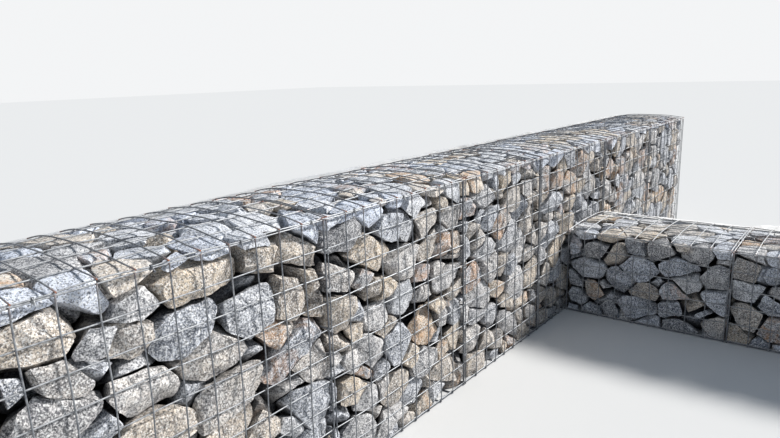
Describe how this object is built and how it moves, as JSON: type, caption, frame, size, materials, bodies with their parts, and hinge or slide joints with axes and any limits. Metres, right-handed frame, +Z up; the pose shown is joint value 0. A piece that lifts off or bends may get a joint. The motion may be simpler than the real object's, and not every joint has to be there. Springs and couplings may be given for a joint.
{
  "type": "gabion wall",
  "caption": "Straight run of stone-filled welded mesh baskets with crowned lids, and a lower return wall against its front.",
  "frame": {"origin": "bottom centre of the whole wall's box", "axes": "+X along the main wall to its far end, +Y into the bank behind it, +Z up"},
  "size_m": [6.215, 2.4536, 1.0596],
  "materials": {
    "stone": "rough broken granite",
    "wire": "dull galvanised",
    "tie": "dull galvanised",
    "felt": "needled felt"
  },
  "bodies": {
    "root": {"stone_fill_1": "stone", "front_mesh_1": "wire", "back_mesh_1": "wire", "lid_mesh_1": "wire", "stone_fill_2": "stone", "front_mesh_2": "wire", "back_mesh_2": "wire", "lid_mesh_2": "wire", "stone_fill_3": "stone", "front_mesh_3": "wire", "back_mesh_3": "wire", "lid_mesh_3": "wire", "stone_fill_4": "stone", "front_mesh_4": "wire", "back_mesh_4": "wire", "lid_mesh_4": "wire", "stone_fill_5": "stone", "front_mesh_5": "wire", "back_mesh_5": "wire", "lid_mesh_5": "wire", "stone_fill_6": "stone", "front_mesh_6": "wire", "back_mesh_6": "wire", "lid_mesh_6": "wire", "base_mesh_near": "wire", "base_mesh_far": "wire", "partition_mesh": "wire", "end_mesh_near": "wire", "end_mesh_far": "wire", "joint_ties": "tie", "lid_ties": "tie", "liner_main": "felt", "return_stone_fill_1": "stone", "return_front_mesh_1": "wire", "return_back_mesh_1": "wire", "return_lid_mesh_1": "wire", "return_stone_fill_2": "stone", "return_front_mesh_2": "wire", "return_back_mesh_2": "wire", "return_lid_mesh_2": "wire", "return_base_mesh": "wire", "return_cross_mesh": "wire", "return_ties": "tie", "liner_return": "felt"}
  },
  "joints": []
}
